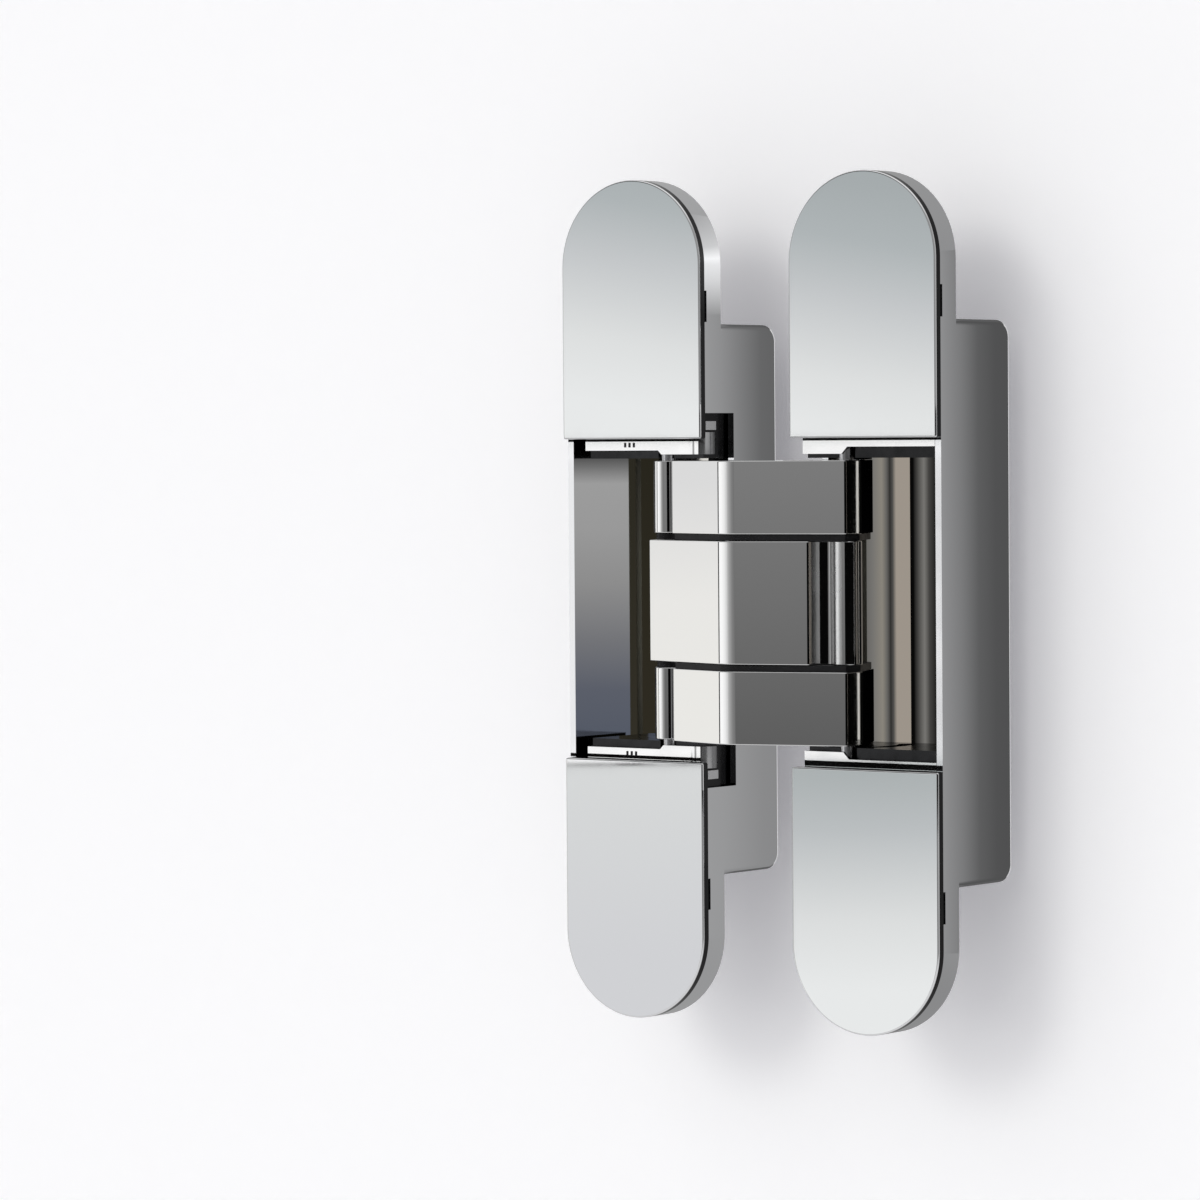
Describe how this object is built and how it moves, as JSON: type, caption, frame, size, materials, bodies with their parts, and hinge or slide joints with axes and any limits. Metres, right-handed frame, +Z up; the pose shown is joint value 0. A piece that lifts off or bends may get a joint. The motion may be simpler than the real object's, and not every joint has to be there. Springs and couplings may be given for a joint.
{
  "type": "concealed door hinge",
  "caption": "Concealed door hinge: round-ended leaf housings with snap covers, joined by crossed roof-shaped arms that pivot and slide in adjustable carriers.",
  "frame": {"origin": "midway between the leaves, at mid height, in the plane of the cover faces, with the hinge open flat", "axes": "+X from the left leaf to the right leaf, +Y from the cover faces into the door edge, +Z up along the leaves"},
  "size_m": [0.0788, 0.0289, 0.146],
  "materials": {
    "housing_chrome": "die-cast zinc, mirror-polished bright chrome",
    "cover_chrome": "mirror-polished bright chrome",
    "arm_chrome": "die-cast zinc, mirror-polished bright chrome",
    "carrier_metal": "dark die-cast carrier with a bright polished front strip",
    "pin_steel": "ground steel pin",
    "screw_steel": "plated steel socket screw",
    "bearing_plastic": "black sliding plate and washer plastic"
  },
  "bodies": {
    "left_leaf": {"left_housing": "housing_chrome", "left_upper_cover": "cover_chrome", "left_lower_cover": "cover_chrome", "left_upper_clamp_screw": "screw_steel", "left_lower_clamp_screw": "screw_steel"},
    "left_carriers": {"left_upper_carrier": "carrier_metal", "left_lower_carrier": "carrier_metal", "left_pivot_pin": "pin_steel", "left_upper_pivot_spacer": "bearing_plastic", "left_lower_pivot_spacer": "bearing_plastic"},
    "middle_link": {"middle_arm": "arm_chrome", "middle_slide_pin": "pin_steel"},
    "outer_link": {"upper_arm": "arm_chrome", "lower_arm": "arm_chrome", "centre_pin": "pin_steel", "upper_slide_pin": "pin_steel", "lower_slide_pin": "pin_steel", "upper_slide_plate": "bearing_plastic", "lower_slide_plate": "bearing_plastic"},
    "right_carriers": {"right_upper_carrier": "carrier_metal", "right_lower_carrier": "carrier_metal", "right_upper_pivot_pin": "pin_steel", "right_lower_pivot_pin": "pin_steel", "right_upper_pivot_washer": "bearing_plastic", "right_lower_pivot_washer": "bearing_plastic"},
    "right_leaf": {"right_housing": "housing_chrome", "right_upper_cover": "cover_chrome", "right_lower_cover": "cover_chrome", "right_upper_clamp_screw": "screw_steel", "right_lower_clamp_screw": "screw_steel"}
  },
  "joints": [
    {"name": "side_adjust", "type": "slide", "parent": "left_leaf", "child": "left_carriers", "axis": [-1, 0, 0], "range_m": [-0.0004, 0.002]},
    {"name": "hinge_fold", "type": "hinge", "parent": "left_carriers", "child": "middle_link", "pos_m": [-0.0142, 0.0132, 0], "axis": [0, 0, -1], "range_deg": [0, 86.45]},
    {"name": "centre_fold", "type": "hinge", "parent": "middle_link", "child": "outer_link", "pos_m": [0, -0.0034, 0], "axis": [0, 0, -1], "range_deg": [0, 7.1]},
    {"name": "right_fold", "type": "hinge", "parent": "outer_link", "child": "right_carriers", "pos_m": [0.0142, 0.0132, 0], "axis": [0, 0, -1], "range_deg": [0, 86.45]},
    {"name": "height_adjust", "type": "slide", "parent": "right_carriers", "child": "right_leaf", "axis": [0, 0, 1], "range_m": [-0.0015, 0.0015]}
  ],
  "couplings": [
    {"joint": "centre_fold", "follows": "hinge_fold", "ratio": 0.082074},
    {"joint": "right_fold", "follows": "hinge_fold", "ratio": 1}
  ]
}
